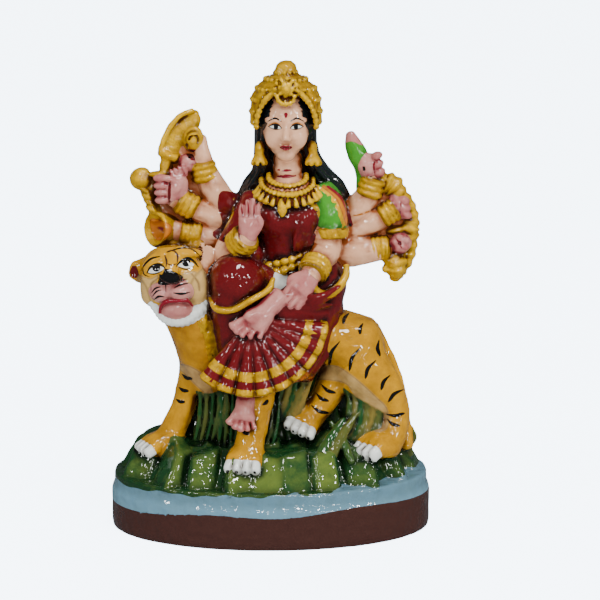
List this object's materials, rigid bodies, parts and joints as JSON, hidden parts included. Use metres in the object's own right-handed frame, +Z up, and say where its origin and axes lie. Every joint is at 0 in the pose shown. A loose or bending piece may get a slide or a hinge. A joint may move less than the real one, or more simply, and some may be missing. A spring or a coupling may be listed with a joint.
{
  "type": "durga figure",
  "caption": "Painted cast figure of an eight-armed goddess seated on a tiger, in one with its oval rocky plinth; stands on its flat underside.",
  "frame": {"origin": "centre of the plinth's underside, in plan the middle of the plinth's width and depth", "axes": "+Z up; the front faces -Y; +X to the viewer's right"},
  "size_m": [0.107, 0.06, 0.159],
  "materials": {
    "painted_casting": "plaster casting painted in many colours under a thick glossy varnish"
  },
  "bodies": {
    "root": {"durga_figure": "painted_casting"}
  },
  "joints": []
}
